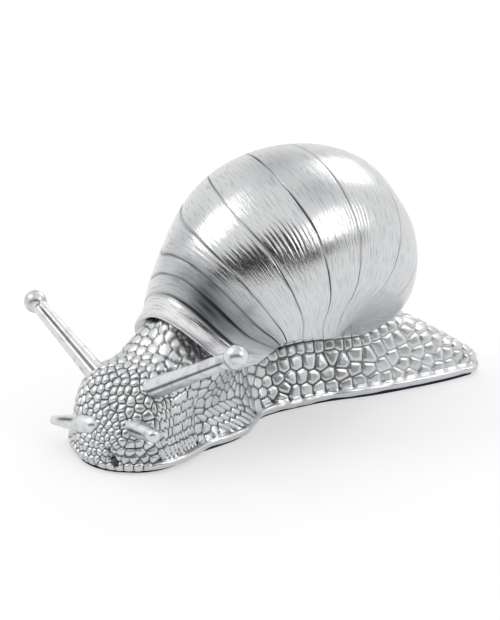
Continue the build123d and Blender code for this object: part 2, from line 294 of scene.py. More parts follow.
# Scales, sized from the photograph: broad plates on tail and flanks, rounder beads on the head, rows of
# small square ones along the shell, slanting bricks low on the neck and narrow upright ridges on the
# cheek. A place is told by its distance along the body and its climb up the skin from the rim.
along_map = ray_along[:, None] + np.cos(ray_turn)[:, None] * profile_out
row_index = np.repeat(np.arange(skin.shape[1])[None, :], skin.shape[0], 0)
rng = np.random.default_rng(7)
flat_points = skin.reshape(-1, 3)
columns = skin.shape[1]
onward_axis = np.roll(skin, -1, 0) - np.roll(skin, 1, 0)
down_axis = np.gradient(skin, axis=1)
area = np.linalg.norm(np.cross(onward_axis, down_axis), axis=2).reshape(-1)
onward_axis = (onward_axis / (np.linalg.norm(onward_axis, axis=2, keepdims=True) + 1e-9)).reshape(-1, 3)
down_axis = (down_axis / (np.linalg.norm(down_axis, axis=2, keepdims=True) + 1e-9)).reshape(-1, 3)
flat_normal = normal.reshape(-1, 3)
at_pole = np.linalg.norm(onward_axis, axis=1) < 0.5
onward_axis[at_pole] = np.cross(down_axis[at_pole], flat_normal[at_pole])
steps_down = np.linalg.norm(np.diff(skin[:, :dome_rows], axis=1), axis=2)
climb_map = np.zeros(skin.shape[:2])
climb_map[:, :dome_rows - 1] = np.cumsum(steps_down[:, ::-1], axis=1)[:, ::-1]
size = 4.8 - 0.8 * smoothstep(100, 125, along_map) - 0.8 * smoothstep(140, 150, along_map)
size = size - 0.6 * smoothstep(163, 168, along_map)
near_neck = smoothstep(88, 102, along_map) * (1 - smoothstep(126, 136, along_map))
size = size - 0.8 * near_neck * (1 - smoothstep(20, 28, climb_map))
front_step = 0.42


def both_sides(place, climb):
    """Grid points at a distance along the body and a climb up the skin from the rim, left and right."""
    column = (place - tail_centre) / skin_step
    if place > head_centre:
        column = len(side) + (place - head_centre) / front_step
    left_ray = int(column)
    right_ray = 2 * len(side) + len(front_turn) - 1 - left_ray
    return [
        (ray * columns + int(np.argmin(np.abs(climb_map[ray, :dome_rows] - climb))), way)
        for ray, way in ((left_ray, 1), (right_ray, -1))
    ]


# Each planted scale: grid point, slant of its long side below the body's direction, length and width
planted = {}
collar_along = np.array((31.5, 36, 42.5, 49.5, 56.5, 65, 75, 88, 94))
collar_climb = np.array((21.0, 19.7, 17.7, 16.0, 16.0, 16.4, 17.3, 17.1, 15.0))
collar_bead = 3.6
bend_steps = (4.9, 2.9)
for body_side, bend_step in enumerate(bend_steps):
    for place in np.concatenate((np.arange(31.5, 60, collar_bead), np.arange(60.5, 96, bend_step))):
        for row in range(3):
            climb = np.interp(place, collar_along, collar_climb) + collar_bead * row
            index, _ = both_sides(place + rng.uniform(-0.2, 0.2), climb)[body_side]
            planted.setdefault(index, (0.0, collar_bead, collar_bead))
brick_slant = math.radians(33)
brick_long = 5.0
brick_tall = 1.75
for row in range(-14, 15):
    for step in range(-8, 9):
        onward = (step + 0.5 * (row % 2)) * brick_long + rng.uniform(-0.4, 0.4)
        place = 120 - onward * math.cos(brick_slant) + row * brick_tall * math.sin(brick_slant)
        climb = 5 - onward * math.sin(brick_slant) - row * brick_tall * math.cos(brick_slant)
        if place < 137 and max(0.6, (place - 123) * 0.5) < climb < min(10.5, (place - 104) * 0.75):
            for index, way in both_sides(place, climb):
                planted.setdefault(index, (way * (math.pi - brick_slant), brick_long, brick_tall))
ridge_step = 1.8
ridge_tall = 3.7
ridge_wide = 1.7
for row, climb in enumerate((2.0, 5.0, 8.2, 11.6, 15.0, 18.4)):
    for place in np.arange(138.5 + 0.9 * (row % 2), 156.5, ridge_step):
        slant = math.radians(90 if climb > 6 else 65)
        for index, way in both_sides(place, climb + rng.uniform(-0.4, 0.4)):
            planted.setdefault(index, (way * (math.pi - slant), ridge_tall, ridge_wide))
fixed = len(planted)
in_bricks = (along_map < 138) & (climb_map < np.minimum(11.5, (along_map - 103) * 0.75))
in_bricks = in_bricks & (climb_map > np.maximum(-1, (along_map - 124) * 0.5)) & (along_map > 103)
in_ridges = (along_map > 137.5) & (along_map < 157) & (climb_map < 20)
on_side = np.abs(np.sin(ray_turn))[:, None] > 0.93
on_face = np.abs(np.cos(ray_turn))[:, None] > 0.3
free = ~((in_bricks | in_ridges) & on_side) & (row_index < np.where(on_face, dome_rows + 12, dome_rows + 4))
flat_size = size.reshape(-1)
candidates = np.flatnonzero(free.reshape(-1))
rng.shuffle(candidates)
cell_width = 5.0
close_share = 0.84
cells = {}


def crowded(point, reach):
    """Whether a planted scale already lies within reach."""
    key = (point // cell_width).astype(int)
    for step in np.ndindex(3, 3, 3):
        for other in cells.get(tuple(key + step - 1), ()):
            gap = point - flat_points[other]
            if gap @ gap < reach * reach:
                return True
    return False


for index in planted:
    cells.setdefault(tuple((flat_points[index] // cell_width).astype(int)), []).append(index)
for index in candidates:
    if not crowded(flat_points[index], close_share * flat_size[index]):
        cells.setdefault(tuple((flat_points[index] // cell_width).astype(int)), []).append(index)
        planted[index] = (0.0, flat_size[index], flat_size[index])


def point_tree(points):
    """Search tree over points."""
    tree = kdtree.KDTree(len(points))
    for number, point in enumerate(points):
        tree.insert(point, number)
    tree.balance()
    return tree


# The free scales settle to the middle of their own ground, which evens them out
seed_points = flat_points[np.array(list(planted))]
settled_area = np.where(free.reshape(-1), area, 1e-6 * area)
for _ in range(3):
    tree = point_tree(seed_points)
    owner = np.array([tree.find(point)[1] for point in flat_points])
    ground = np.bincount(owner, settled_area, len(seed_points)) + 1e-12
    middle = np.stack([
        np.bincount(owner, settled_area * flat_points[:, k], len(seed_points)) for k in range(3)
    ], 1)
    seed_points[fixed:] = (middle / ground[:, None])[fixed:]
skin_tree = point_tree(flat_points)
seed_home = np.array([skin_tree.find(point)[1] for point in seed_points])
slant, long_size, wide_size = np.array(list(planted.values())).T
long_axis = onward_axis[seed_home] * np.cos(slant)[:, None]
long_axis = long_axis + down_axis[seed_home] * np.abs(np.sin(slant))[:, None]
wide_axis = np.cross(flat_normal[seed_home], long_axis)
seed_tone = rng.random(len(seed_points))
seed_height = rng.uniform(0.88, 1.12, len(seed_points))
seed_along = along_map.reshape(-1)[seed_home]
seed_climb = climb_map.reshape(-1)[seed_home]
laid_back = smoothstep(38, 60, seed_along) * (1 - smoothstep(104, 112, seed_along))
laid_back = 0.05 + 0.13 * laid_back * smoothstep(0, 3, seed_climb) * (1 - smoothstep(9, 14, seed_climb))
seed_tilt = rng.normal(0, 0.025, (len(seed_points), 3)) + laid_back[:, None] * down_axis[seed_home]

# Relief: each point belongs to the scale that is nearest in that scale's own proportions. Scales are
# domed, with grooves between them, and are worn lower on the tail.
neighbours = 14
tree = point_tree(seed_points)
near = np.array([[hit[1] for hit in tree.find_n(point, neighbours)] for point in flat_points])
offset = flat_points[:, None, :] - seed_points[near]
along_part = (offset * long_axis[near]).sum(2) / long_size[near]
wide_part = (offset * wide_axis[near]).sum(2) / wide_size[near]
deep_part = (offset * flat_normal[seed_home][near]).sum(2) / wide_size[near]
reach = np.sqrt(along_part ** 2 + wide_part ** 2 + deep_part ** 2)
order = np.argsort(reach, axis=1)
first = np.take_along_axis(reach, order[:, :1], 1)[:, 0]
second = np.take_along_axis(reach, order[:, 1:2], 1)[:, 0]
own = np.take_along_axis(near, order[:, :1], 1)[:, 0]
gap = second - first
beaded = smoothstep(140, 150, along_map.reshape(-1))
slender = long_size[own] / wide_size[own] > 1.5
crown = 1 - (1 - np.clip(gap / 0.8, 0, 1)) ** np.where(slender, 2.2, 4.0 - 1.7 * beaded)
raised = smoothstep(0.0, 0.22, gap)
scale_depth = np.where(slender, 0.55, np.clip((0.15 + 0.1 * beaded) * wide_size[own], 0.35, 0.9))
tilted = ((flat_points - seed_points[own]) * seed_tilt[own]).sum(1)
face = np.repeat(smoothstep(0.2, 0.6, np.abs(np.cos(ray_turn)))[:, None], columns, 1).reshape(-1)
keep = 1 - smoothstep(dome_rows + 1, dome_rows + 5, row_index.reshape(-1) - 11 * face)
worn = 1 - smoothstep(25, 65, along_map.reshape(-1))
scale_depth = scale_depth * (1 - 0.35 * worn)
lifted = (scale_depth * (crown * seed_height[own] - 0.75) + tilted * raised) * keep
shape = flat_points + flat_normal * lifted[:, None]
relief = 1 - (1 - np.clip(0.7 * smoothstep(0.0, 0.3, gap) + 0.35 * crown, 0, 1)) * keep
relief = relief + (1 - relief) * 0.5 * worn
relief = relief * (1 - 0.8 * cleft.reshape(-1))
tone = np.where(keep > 0.5, seed_tone[own], 0.6)


def grid_object(name, points, closed_around):
    """New mesh object from a grid of points, first index around, second along the profile."""
    rows, columns = points.shape[:2]
    number = np.arange(rows * columns).reshape(rows, columns)
    nxt = np.roll(number, -1, 0)
    last = rows if closed_around else rows - 1
    quads = np.stack((number[:last, :-1], number[:last, 1:], nxt[:last, 1:], nxt[:last, :-1]), -1)
    mesh = bpy.data.meshes.new(name)
    mesh.from_pydata((points.reshape(-1, 3) * MM).tolist(), [], quads.reshape(-1, 4).tolist())
    piece = bpy.data.objects.new(name, mesh)
    bpy.context.scene.collection.objects.link(piece)
    return piece


def point_value(piece, name, values):
    """Store one number per vertex for the material to read."""
    attribute = piece.data.attributes.new(name, "FLOAT", "POINT")
    attribute.data.foreach_set("value", np.asarray(values, dtype=np.float32))


def activate(piece):
    """Leave only this piece selected and active."""
    bpy.ops.object.select_all(action="DESELECT")
    piece.select_set(True)
    bpy.context.view_layer.objects.active = piece


def close_skin(piece, hole_below):
    """Merge the crest's doubled points, close the flat underside and turn the faces outward."""
    activate(piece)
    bpy.ops.object.mode_set(mode="EDIT")
    bpy.ops.mesh.select_all(action="SELECT")
    bpy.ops.mesh.remove_doubles(threshold=0.00002)
    if hole_below:
        bpy.ops.mesh.select_all(action="DESELECT")
        bpy.ops.mesh.select_mode(type="EDGE")
        bpy.ops.mesh.select_non_manifold(
            extend=False, use_wire=False, use_multi_face=False, use_non_contiguous=False, use_verts=False,
        )
        bpy.ops.mesh.edge_face_add()
        bpy.ops.mesh.select_all(action="SELECT")
    bpy.ops.mesh.normals_make_consistent(inside=False)
    bpy.ops.object.mode_set(mode="OBJECT")
    bpy.ops.object.shade_smooth_by_angle(angle=math.radians(50))


body_skin = grid_object("body_skin", shape.reshape(skin.shape), True)
point_value(body_skin, "relief", relief)
point_value(body_skin, "tone", tone)
close_skin(body_skin, True)


def linear(hex_colour):
    """sRGB hex colour to the linear values that a shader socket takes."""
    parts = [int(hex_colour[i:i + 2], 16) / 255 for i in (0, 2, 4)]
    return tuple(p / 12.92 if p <= 0.04045 else ((p + 0.055) / 1.055) ** 2.4 for p in parts) + (1.0,)


def add_node(tree, kind, inputs=(), **settings):
    """Add a shader node, set its properties, then link or set each named input."""
    made = tree.nodes.new(kind)
    for key, value in settings.items():
        setattr(made, key, value)
    for key, value in inputs:
        if isinstance(value, bpy.types.NodeSocket):
            tree.links.new(value, made.inputs[key])
        else:
            made.inputs[key].default_value = value
    return made


def new_material(name):
    """Empty node material with its Principled shader."""
    material = bpy.data.materials.new(name)
    material.use_nodes = True
    return material, material.node_tree, material.node_tree.nodes["Principled BSDF"]


def set_ramp(ramp, stops):
    """Give a colour ramp its stops, each a position and a colour."""
    elements = ramp.color_ramp.elements
    while len(elements) > 2:
        elements.remove(elements[-1])
    for i, (position, colour) in enumerate(stops):
        element = elements[i] if i < 2 else elements.new(position)
        element.position = position
        element.color = colour


# Antiqued cast silver: dark oxide stays in the grooves, the rubbed scale tops are bright, and no two
# scales are quite as bright. The grain of the casting is 1.1 mm across, coarser than the real one so that
# it shows.
skin_metal, tree_nodes, shader = new_material("antiqued_cast_silver")
relief_value = add_node(tree_nodes, "ShaderNodeAttribute", attribute_name="relief").outputs["Fac"]
tone_value = add_node(tree_nodes, "ShaderNodeAttribute", attribute_name="tone").outputs["Fac"]
place = add_node(tree_nodes, "ShaderNodeTexCoord").outputs["Object"]
grain = add_node(tree_nodes, "ShaderNodeTexNoise", (("Vector", place), ("Scale", 900.0), ("Detail", 3.0)))
oxide_ramp = add_node(tree_nodes, "ShaderNodeValToRGB", (("Fac", relief_value),))
set_ramp(oxide_ramp, ((0.0, linear("2c2d30")), (0.35, linear("8e9093")), (0.75, linear("d5d6d7"))))
dim = add_node(tree_nodes, "ShaderNodeMapRange", (
    ("Value", tone_value), ("From Min", 0.0), ("From Max", 1.0), ("To Min", 0.86), ("To Max", 1.0),
))
tinted = add_node(tree_nodes, "ShaderNodeVectorMath", (
    (0, oxide_ramp.outputs["Color"]), ("Scale", dim.outputs["Result"]),
), operation="SCALE")
tree_nodes.links.new(tinted.outputs["Vector"], shader.inputs["Base Color"])
rough = add_node(tree_nodes, "ShaderNodeMapRange", (
    ("Value", relief_value), ("From Min", 0.1), ("From Max", 0.8), ("To Min", 0.6), ("To Max", 0.29),
))
tree_nodes.links.new(rough.outputs["Result"], shader.inputs["Roughness"])
shader.inputs["Metallic"].default_value = 1.0
bump = add_node(tree_nodes, "ShaderNodeBump", (
    ("Height", grain.outputs["Fac"]), ("Strength", 0.12), ("Distance", 0.3 * MM),
))
tree_nodes.links.new(bump.outputs["Normal"], shader.inputs["Normal"])
body_skin.data.materials.append(skin_metal)
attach(body_skin, "root")
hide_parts("body")


# Shell: a hollow coil cast apart from the body, with a rolled lip round its mouth, screwed to the saddle
# from below. Growth lines were engraved across the whorl and rubbed with dark oxide, and the rest was
# polished along the lines.
whorl_radius = 43.7
coil_radius = 22.3
descent = 50.5
growth_per_turn = 2.0
mouth_angle = math.radians(9.9)
mouth_shrink = 0.07
mouth_taper_turn = 0.19
axis_tilt = math.radians(27.5)
axis_heading = math.radians(171.3)
saddle = at_body(80.0, 0, 0)
shell_origin = saddle + np.array((-35.8, 11.5, 62.8))
shell_axis = np.array((
    math.cos(axis_tilt) * math.cos(axis_heading),
    math.cos(axis_tilt) * math.sin(axis_heading),
    math.sin(axis_tilt),
))
ahead = np.array((0.0, -1.0, 0.0))
mouth_direction = ahead - shell_axis * (ahead @ shell_axis)
mouth_direction /= np.linalg.norm(mouth_direction)
side_direction = np.cross(shell_axis, mouth_direction)


def coil(turn, angle, proud):
    """Point of the coil: turns back from the lip are negative, angle is round the tube, proud is outward."""
    scale = growth_per_turn ** turn
    pinch = 1 - mouth_shrink * np.clip(1 + turn / mouth_taper_turn, 0, None) ** 2
    swing = mouth_angle - turn * 2 * math.pi
    outward = np.cos(swing)[..., None] * mouth_direction + np.sin(swing)[..., None] * side_direction
    radius = whorl_radius * scale * pinch + proud
    centre = shell_origin + (coil_radius * scale * pinch)[..., None] * outward
    centre = centre - (descent * scale)[..., None] * shell_axis
    centre = centre + (radius * np.cos(angle))[..., None] * outward
    return centre + (radius * np.sin(angle))[..., None] * shell_axis


# The lip's edge, as turns back or on from the mouth at angles round the tube: it wraps round the far side
# of the neck and draws back on the near side
tube_angles = np.radians(np.linspace(-118, 118, 190))
lip_angle = np.radians(np.array((
    -118.0, -81, -66, -54, -43, -32, -21, -13, -5.6, 1.2, 9.6, 15, 22, 30, 45, 60, 90, 118
)))
lip_edge = np.array((
    -0.03, -0.035, -0.016, -0.003, -0.0033, -0.0047, -0.0018, 0.004, 0.0128, 0.026, 0.05, 0.073, 0.093, 0.107,
    0.112, 0.108, 0.083, 0.05,
))
lip_turn = through(lip_angle, lip_edge, tube_angles)

# Rows of the coil: close together at the lip and at each engraved line, wider between. The rows drift
# with the growth lines, which run forward in the middle of the whorl.
mm_per_turn = 400.0
engraved = np.array((
    -0.038, -0.05, -0.068, -0.1065, -0.16, -0.213, -0.294, -0.372, -0.45, -0.54, -0.63, -0.74, -0.86
))
line_offsets = np.array((-0.9, -0.55, -0.28, 0.0, 0.28, 0.55, 0.9)) / mm_per_turn
plain_rows = np.concatenate((np.arange(-0.016, -1.0, -0.0058), np.arange(-1.0, -2.95, -0.016)))
line_rows = (engraved[:, None] + line_offsets[None, :]).reshape(-1)
lip_rows = -np.linspace(0, 0.03, 31)
turn_rows = np.unique(np.concatenate((plain_rows, line_rows, lip_rows)))[::-1]
blend = smoothstep(-0.08, 0.0, turn_rows)
drift_angle = np.radians(np.array((-118.0, -90, -81, -70, -56, -43, -31, -15, 0, 20, 60, 118)))
drift_turn = np.array((0.03, 0.03, 0.02, -0.006, -0.015, -0.016, -0.015, -0.01, -0.005, 0.0, 0.006, 0.008))
drift = through(drift_angle, drift_turn, tube_angles)
drifting = 1 - smoothstep(-0.065, -0.02, turn_rows)
turn_grid = turn_rows[:, None] + lip_turn[None, :] * blend[:, None] + drift[None, :] * drifting[:, None]
angle_grid = np.repeat(tube_angles[None, :], len(turn_rows), 0)
back = (-turn_rows * mm_per_turn)[:, None] * np.ones(len(tube_angles))

# Forms across the rows: the lip's rolled bead with a gully behind it, its flare on the far side, a waist
# behind the gully, and the engraved lines, each deep for a different stretch
round_degrees = np.degrees(tube_angles)[None, :]
lip_band = 8.4
lip_bead = 1.3
lip_flare = 2.6
gully_depth = 0.3
waist_depth = 0.9
line_depth = 0.42
line_width = 0.36
lip_full = (1 - 0.65 * smoothstep(-18, 2, round_degrees)) * smoothstep(-66, -46, round_degrees)
bead = lip_bead * lip_full * np.clip(1 - ((back - 0.5 * lip_band) / (0.52 * lip_band)) ** 2, 0, 1) ** 0.5
gully = lip_full * np.exp(-((back - lip_band - 0.9) / 0.8) ** 2)
flare = lip_flare * smoothstep(7, 0, back) * smoothstep(0, 12, round_degrees)
waisted = np.exp(-((back - 17) / 7) ** 2) * (1 - smoothstep(-12, 6, round_degrees))
groove = np.zeros(turn_grid.shape)
shell_rng = np.random.default_rng(11)
for line in engraved:
    _, end = shell_rng.uniform(-100, -70), shell_rng.uniform(40, 90)
    strength = 0.7 + 0.3 * np.sin(tube_angles * shell_rng.uniform(4, 9) + shell_rng.uniform(0, 6))
    strength = strength * (1 - smoothstep(end, end + 20, np.degrees(tube_angles)))
    strength = strength * np.interp(line, (-0.2, -0.16, -0.068, -0.05), (0.65, 1.0, 0.9, 0.65))
    away = (turn_rows[:, None] - line) * mm_per_turn
    groove += strength[None, :] * np.exp(-(away / line_width) ** 2)


def hump(turns, angles, turn, angle, turn_spread, angle_spread):
    """Smooth hump round one place on the coil."""
    aside = (turns - turn) / turn_spread
    onward = (np.degrees(angles) - angle) / angle_spread
    return np.exp(-aside ** 2 - onward ** 2)


def shaped(turns, angles):
    """Shaping: fuller low on the back, flatter at the mouth's top left and at the top of the back."""
    fuller = 3.0 * hump(turns, angles, -0.46, -52, 0.09, 28)
    flatter = 4.2 * hump(turns, angles, 0.01, 38, 0.08, 28) + 1.3 * hump(turns, angles, -0.345, 2, 0.05, 18)
    return fuller - flatter


sunk = gully_depth * gully + line_depth * groove + waist_depth * waisted
outside = coil(turn_grid, angle_grid, bead + flare - sunk + shaped(turn_grid, angle_grid))

# Finish: darker, duller patches, the strongest of them a painted dark reflection just behind the lip, places
# where the file left close parallel strokes, and the lip rubbed brighter than the rest. A place is its turn
# and angle with their spreads, after a patch's strength.
reflection_and_dull_patches = (
    (0.55, -0.036, -31, 0.013, 15), (0.24, -0.172, 17, 0.026, 12), (0.22, -0.195, -9, 0.022, 8),
    (0.16, -0.05, 9, 0.03, 10),
)
# The first patch is painted dark reflection; the other three are soft grey patches, duller too.
shade = sum(strength * hump(turn_grid, angle_grid, *spot) for strength, *spot in reflection_and_dull_patches)
# Darker: the engraved lines, the gully behind the bead, the waist behind the gully and the patches above.
dark = np.clip(groove + 0.8 * gully + 0.45 * waisted + shade, 0, 1)
file_places = (
    (-0.14, -24, 0.024, 15), (-0.08, -14, 0.03, 9), (-0.235, -35, 0.02, 18), (-0.036, -31, 0.016, 18),
    (-0.5, -15, 0.07, 20), (-0.78, 10, 0.07, 22),
)
filed = sum(hump(turn_grid, angle_grid, *spot) for spot in file_places)
rubbed = np.clip(1 - ((back - 0.5 * lip_band) / (0.6 * lip_band)) ** 4, 0, 1) * lip_full

# The lip turns over and runs back inside as the shell's inner wall
inner_back = np.array((-0.0018, 0.0, 0.004, 0.012, 0.03, 0.06, 0.1))
inner_proud = np.array((0.4, -1.2, -2.6, -3.2, -3.5, -3.6, -3.6))
inner_turn = lip_turn[None, :] - inner_back[:, None]
inner_grid = np.repeat(tube_angles[None, :], len(inner_back), 0)
inside = coil(inner_turn, inner_grid, inner_proud[:, None] + shaped(inner_turn, inner_grid))
apex = np.repeat(outside[-1:].mean(1, keepdims=True), len(tube_angles), 1)
coil_points = np.concatenate((inside[::-1], outside, apex), 0)


def whole_coil(within, without):
    """Values of the inner wall, the outside and the closed apex, one after the other."""
    return np.concatenate((np.broadcast_to(within, inside.shape[:2]), without, without[-1:]), 0).reshape(-1)


# Seat: the underside is closed along the line where the skin is drawn up to the shell
seat_tilt = math.radians(22.0)
seat_heading = math.radians(55.0)
seat_across = np.array((math.cos(seat_heading), math.sin(seat_heading), 0.0))
seat_normal = np.array((
    -math.sin(seat_tilt) * math.sin(seat_heading),
    math.sin(seat_tilt) * math.cos(seat_heading),
    math.cos(seat_tilt),
))
seat_place = np.array((-60.0, -14, -5.6, 3.1, 9.7, 21.7, 30.4, 80))
seat_level = np.array((8.0, 9.0, 12.0, 19.0, 20.1, 20.4, 21.4, 22.0))


def seated(points):
    """Points with those below the seat raised to it."""
    level = np.interp((points - saddle) @ seat_across, seat_place, seat_level)
    short = level - (points - saddle) @ seat_normal
    return points + np.maximum(short, 0)[..., None] * seat_normal


mm_per_degree = 0.75
shell_coil = grid_object("shell_coil", seated(coil_points), False)
point_value(shell_coil, "relief", whole_coil(0.8, 0.85 * (1 - dark) + 0.15 * rubbed))
point_value(shell_coil, "filed", whole_coil(0.0, filed))
row_turns = np.broadcast_to(turn_rows[:, None], turn_grid.shape)
point_value(shell_coil, "along_mm", whole_coil(inner_turn[::-1], row_turns) * mm_per_turn)
point_value(shell_coil, "round_mm", np.degrees(whole_coil(inner_grid, angle_grid)) * mm_per_degree)
activate(shell_coil)
bpy.ops.object.mode_set(mode="EDIT")
bpy.ops.mesh.select_all(action="SELECT")
bpy.ops.mesh.normals_make_consistent(inside=False)
bpy.ops.object.mode_set(mode="OBJECT")
bpy.ops.object.shade_smooth_by_angle(angle=math.radians(40))

# Polished cast silver: bright, with fine brushing and file strokes that follow the growth lines. Brush
# strokes are about 0.6 mm wide and 8 mm long, worn patches about 22 by 33 mm, and file strokes 2 mm
# apart; the strokes are drawn coarser than the real ones so that they show.
shell_metal, tree_nodes, shader = new_material("polished_cast_silver")
relief_value = add_node(tree_nodes, "ShaderNodeAttribute", attribute_name="relief").outputs["Fac"]
along_value = add_node(tree_nodes, "ShaderNodeAttribute", attribute_name="along_mm").outputs["Fac"]
round_value = add_node(tree_nodes, "ShaderNodeAttribute", attribute_name="round_mm").outputs["Fac"]
surface = add_node(tree_nodes, "ShaderNodeCombineXYZ", (
    ("X", along_value), ("Y", round_value),
)).outputs["Vector"]
stretch = add_node(tree_nodes, "ShaderNodeMapping", (
    ("Vector", surface), ("Scale", (1.7, 0.12, 1.0)),
)).outputs["Vector"]
strokes = add_node(tree_nodes, "ShaderNodeTexNoise", (
    ("Vector", stretch), ("Scale", 1.0), ("Detail", 3.0), ("Roughness", 0.6),
))
broad = add_node(tree_nodes, "ShaderNodeMapping", (
    ("Vector", surface), ("Scale", (0.045, 0.03, 1.0)),
)).outputs["Vector"]
patches = add_node(tree_nodes, "ShaderNodeTexNoise", (("Vector", broad), ("Scale", 1.0), ("Detail", 2.0)))
stroke_ramp = add_node(tree_nodes, "ShaderNodeValToRGB", (("Fac", strokes.outputs["Fac"]),))
set_ramp(stroke_ramp, ((0.25, (0.55, 0.55, 0.55, 1)), (0.47, (1, 1, 1, 1))))
patch_ramp = add_node(tree_nodes, "ShaderNodeValToRGB", (("Fac", patches.outputs["Fac"]),))
set_ramp(patch_ramp, ((0.44, (0, 0, 0, 1)), (0.66, (0.9, 0.9, 0.9, 1))))
rubbed_clean = add_node(tree_nodes, "ShaderNodeMath", (
    (0, stroke_ramp.outputs["Color"]), (1, patch_ramp.outputs["Color"]),
), operation="MAXIMUM").outputs["Value"]
clean = add_node(tree_nodes, "ShaderNodeMath", (
    (0, rubbed_clean), (1, relief_value),
), operation="MULTIPLY").outputs["Value"]
silver_ramp = add_node(tree_nodes, "ShaderNodeValToRGB", (("Fac", clean),))
set_ramp(silver_ramp, (
    (0.05, linear("3a3b3e")), (0.43, linear("949698")), (0.81, linear("c9cacb")), (1.0, linear("f2f2f3")),
))
tree_nodes.links.new(silver_ramp.outputs["Color"], shader.inputs["Base Color"])
rough = add_node(tree_nodes, "ShaderNodeMapRange", (("Value", clean), ("To Min", 0.42), ("To Max", 0.15)))
matt_lip = add_node(tree_nodes, "ShaderNodeMapRange", (
    ("Value", relief_value), ("From Min", 0.86), ("From Max", 1.0), ("To Min", 0.0), ("To Max", 0.24),
))
rough = add_node(tree_nodes, "ShaderNodeMath", (
    (0, rough.outputs["Result"]), (1, matt_lip.outputs["Result"]),
), operation="ADD")
tree_nodes.links.new(rough.outputs["Value"], shader.inputs["Roughness"])
shader.inputs["Metallic"].default_value = 1.0
brushed = add_node(tree_nodes, "ShaderNodeBump", (
    ("Height", strokes.outputs["Fac"]), ("Strength", 0.6), ("Distance", 0.2 * MM),
)).outputs["Normal"]
filed_value = add_node(tree_nodes, "ShaderNodeAttribute", attribute_name="filed").outputs["Fac"]
file_space = add_node(tree_nodes, "ShaderNodeMapping", (
    ("Vector", surface), ("Scale", (0.165, 0.006, 1.0)),
)).outputs["Vector"]
file_marks = add_node(tree_nodes, "ShaderNodeTexWave", (
    ("Vector", file_space), ("Scale", 1.0), ("Distortion", 2.5), ("Detail", 2.0), ("Detail Scale", 3.0),
))
file_depth = add_node(tree_nodes, "ShaderNodeMath", (
    (0, file_marks.outputs["Fac"]), (1, filed_value),
), operation="MULTIPLY").outputs["Value"]
filed_bump = add_node(tree_nodes, "ShaderNodeBump", (
    ("Height", file_depth), ("Strength", 0.5), ("Distance", 0.3 * MM), ("Normal", brushed),
))
tree_nodes.links.new(filed_bump.outputs["Normal"], shader.inputs["Normal"])
shell_coil.data.materials.append(shell_metal)
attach(shell_coil, "root")
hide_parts("shell")


# Mantle: the fleshy collar that closes the shell's mouth round the neck. It is cast with the body in the
# same metal, and stands just inside the lip.
mantle_recess_turn = 0.012
mantle_inset = 3.4
mantle_angles = np.radians(np.linspace(-112, 112, 140))
mantle_turn = np.interp(mantle_angles, tube_angles, lip_turn) - mantle_recess_turn
mantle_rim = seated(coil(mantle_turn, mantle_angles, shaped(mantle_turn, mantle_angles) - mantle_inset))
rings = np.linspace(0, 1, 40)
mantle_middle = mantle_rim.mean(0)
mantle_points = mantle_rim[:, None, :] * (1 - rings)[None, :, None] + mantle_middle * rings[None, :, None]
mantle = grid_object("mantle", mantle_points, True)
point_value(mantle, "relief", np.full(len(mantle.data.vertices), 0.85))
point_value(mantle, "tone", np.full(len(mantle.data.vertices), 0.5))
close_skin(mantle, False)
mantle.data.materials.append(skin_metal)
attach(mantle, "root")


# Eye stalks: slightly tapered rods with a ball tip, turned from the same silver-coloured metal and
# polished, then pressed into sockets in the head. A crease along each rod is coloured near black.
#
# Turned and polished silver: bright and even, a little duller in soft spots about 4 mm across
stalk_metal, tree_nodes, shader = new_material("turned_polished_silver")
relief_value = add_node(tree_nodes, "ShaderNodeAttribute", attribute_name="relief").outputs["Fac"]
place = add_node(tree_nodes, "ShaderNodeTexCoord").outputs["Object"]
wear = add_node(tree_nodes, "ShaderNodeTexNoise", (("Vector", place), ("Scale", 260.0), ("Detail", 4.0)))
wear_ramp = add_node(tree_nodes, "ShaderNodeValToRGB", (("Fac", wear.outputs["Fac"]),))
set_ramp(wear_ramp, ((0.30, linear("b6b8ba")), (0.5, linear("dcddde"))))
# The crease along each rod and feeler is coloured near black.
crease_darkened = add_node(tree_nodes, "ShaderNodeMix", (
    ("Factor", relief_value), (6, linear("232427")), (7, wear_ramp.outputs["Color"]),
), data_type="RGBA")
tree_nodes.links.new(crease_darkened.outputs[2], shader.inputs["Base Color"])
shader.inputs["Metallic"].default_value = 1.0
rough = add_node(tree_nodes, "ShaderNodeMapRange", (
    ("Value", wear.outputs["Fac"]), ("From Min", 0.3), ("From Max", 0.7), ("To Min", 0.36), ("To Max", 0.26),
))
tree_nodes.links.new(rough.outputs["Result"], shader.inputs["Roughness"])


